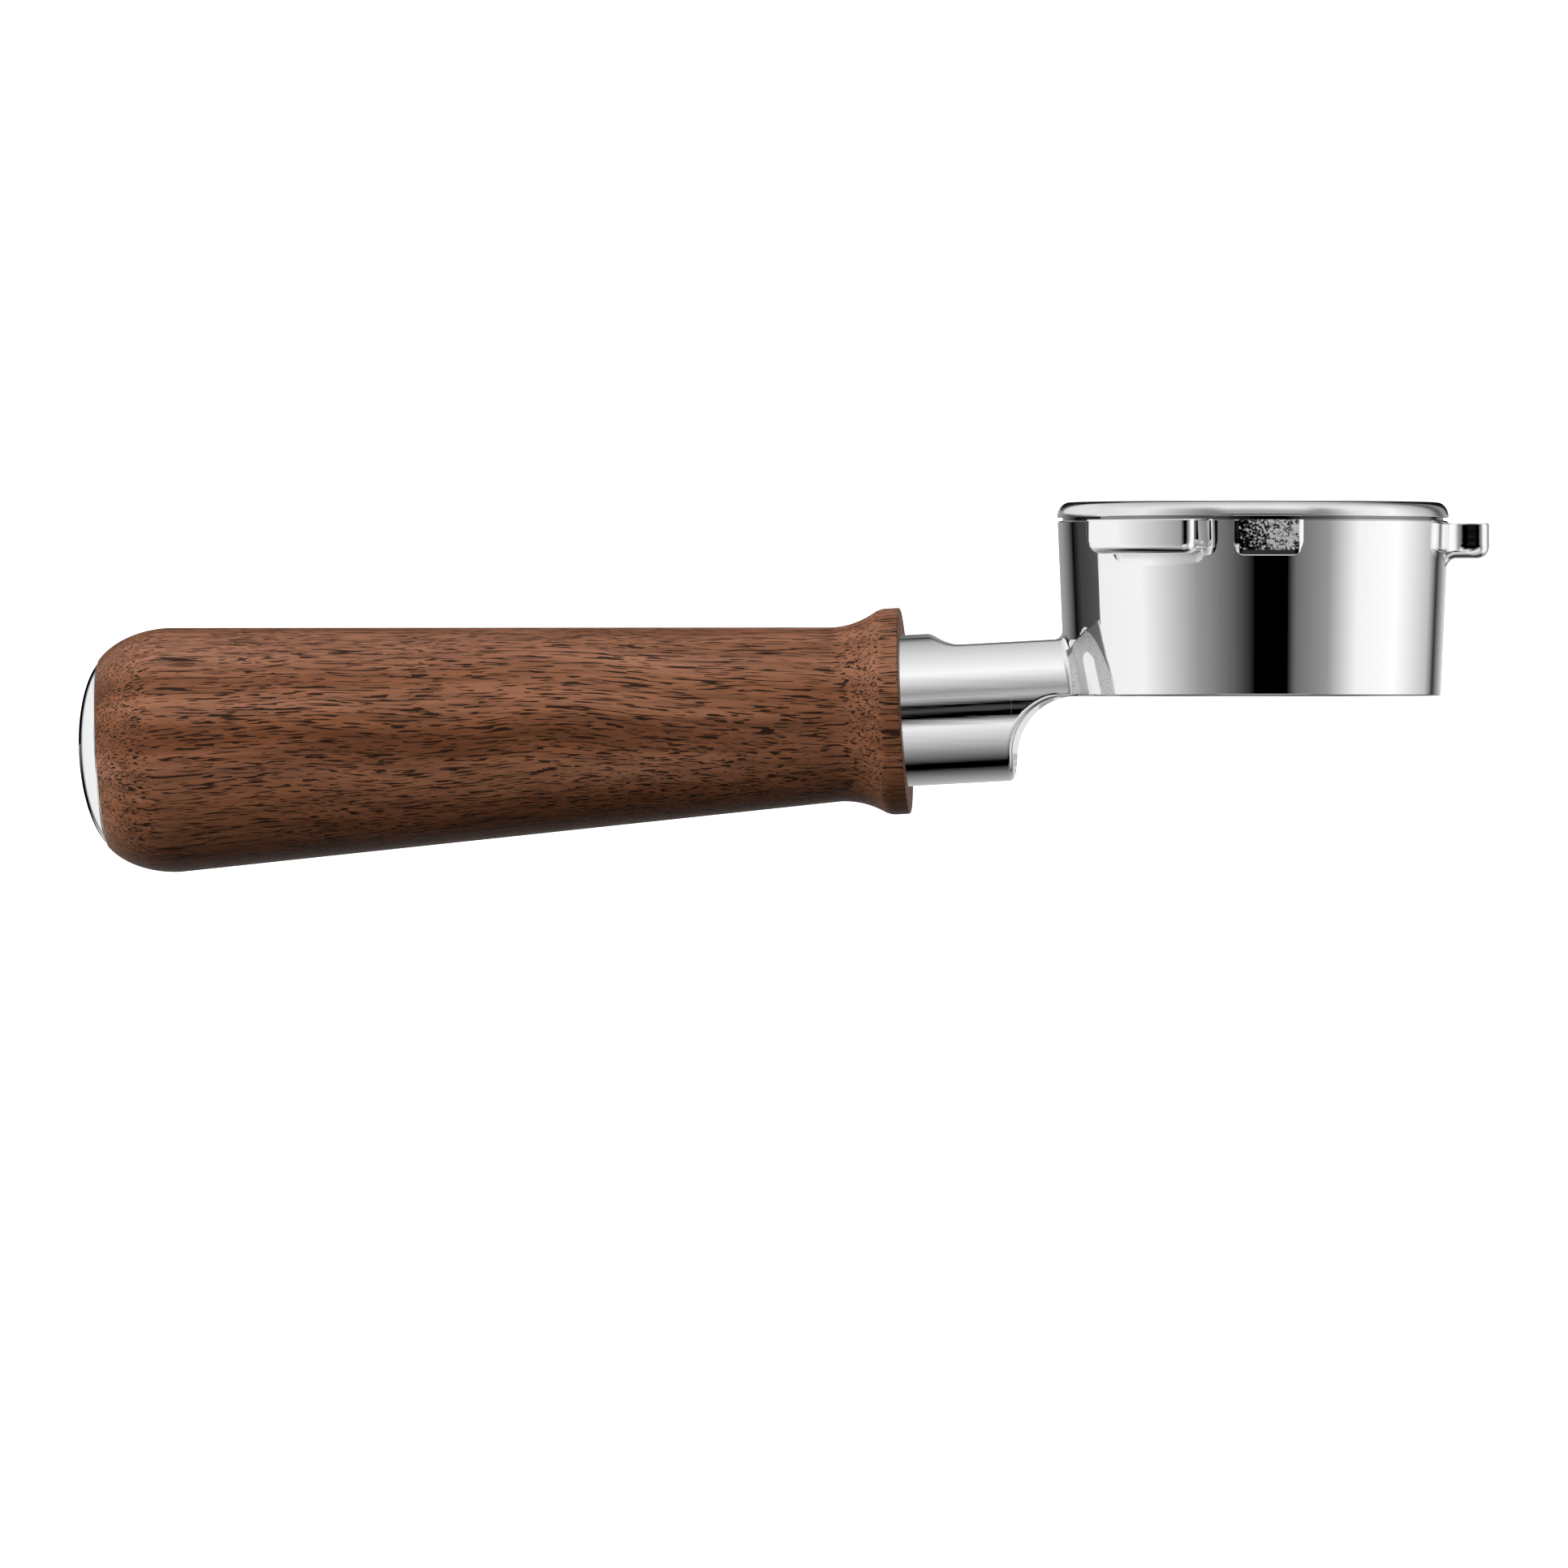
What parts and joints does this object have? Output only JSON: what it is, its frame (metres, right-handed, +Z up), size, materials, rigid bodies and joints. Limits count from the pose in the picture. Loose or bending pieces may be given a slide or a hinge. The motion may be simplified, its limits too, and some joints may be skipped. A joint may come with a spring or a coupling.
{
  "type": "portafilter",
  "caption": "Bottomless espresso portafilter: polished holder ring with bayonet lugs and neck, lift-out filter basket, turned walnut handle and domed metal end cap.",
  "frame": {"origin": "on the axis of the basket, in the plane of the holder ring's top face", "axes": "+Z up along the basket's axis, the way the basket lifts out; the handle runs towards -X"},
  "size_m": [0.2257, 0.0719, 0.0591],
  "materials": {
    "polished_casting": "mirror polished plating, matte as cast on the stop block and round the neck's root",
    "basket_steel": "satin, drawn sheet",
    "spring_steel": "satin wire",
    "zinc_steel": "zinc plated",
    "walnut": "oiled satin, grain along the handle",
    "seal_rubber": "matte",
    "polished_cap": "mirror polished"
  },
  "bodies": {
    "holder": {"filter_holder": "polished_casting", "walnut_handle": "walnut", "neck_gasket": "seal_rubber", "anti_turn_pin": "spring_steel", "tie_stud": "zinc_steel", "flat_washer": "zinc_steel", "spring_washer": "spring_steel", "clamp_nut": "zinc_steel", "end_cap": "polished_cap", "cap_o_ring": "seal_rubber"},
    "clip": {"basket_spring": "spring_steel"},
    "basket": {"filter_basket": "basket_steel"}
  },
  "joints": [
    {"name": "basket_turn", "type": "hinge", "parent": "holder", "child": "clip", "pos_m": [0, 0, 0], "axis": [0, 0, 1], "continuous": true},
    {"name": "basket_lift", "type": "slide", "parent": "clip", "child": "basket", "axis": [0, 0, 1], "range_m": [0, 0.035]}
  ]
}
